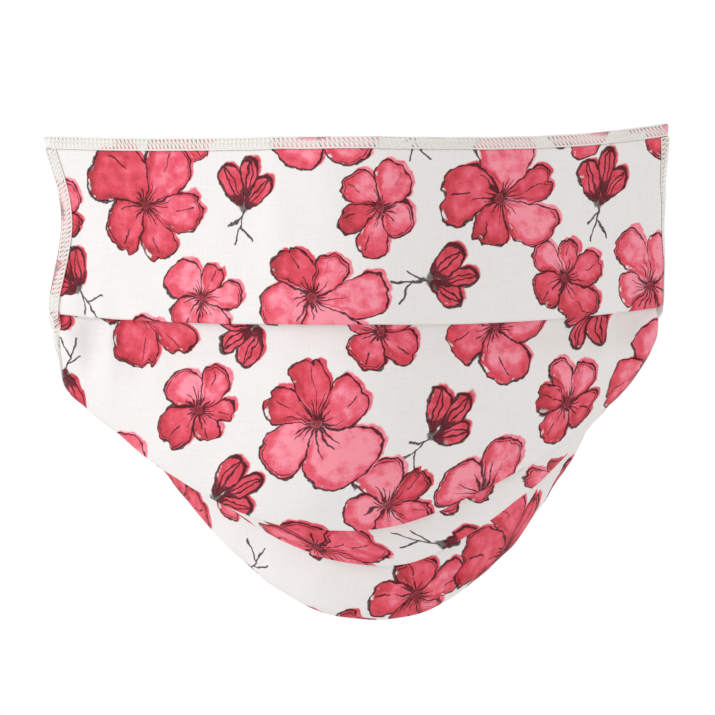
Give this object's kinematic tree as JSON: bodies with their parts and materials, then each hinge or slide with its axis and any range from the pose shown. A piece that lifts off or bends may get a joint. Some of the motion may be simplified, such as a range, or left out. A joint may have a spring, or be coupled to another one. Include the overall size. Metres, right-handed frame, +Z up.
{
  "type": "cloth face mask",
  "caption": "Pleated cloth face mask in its worn form, opened round nose and chin, with hemmed edges and an elastic ear loop on each side.",
  "frame": {"origin": "middle of the top hem's inner face, half way down the hem, where it rests on the bridge of the nose", "axes": "+X to the viewer's right across the mask, +Y from the mask towards the wearer's ears, +Z up"},
  "size_m": [0.1679, 0.132, 0.132],
  "materials": {
    "printed_cotton": "woven cotton, red blossom print on white",
    "hem_cotton": "overlocked edge with white thread",
    "elastic": "knitted elastic"
  },
  "bodies": {
    "root": {"pleated_cloth": "printed_cotton", "top_hem": "hem_cotton", "bottom_hem": "hem_cotton", "side_hem_left": "hem_cotton", "side_hem_right": "hem_cotton", "ear_loop_left": "elastic", "ear_loop_right": "elastic"}
  },
  "joints": []
}
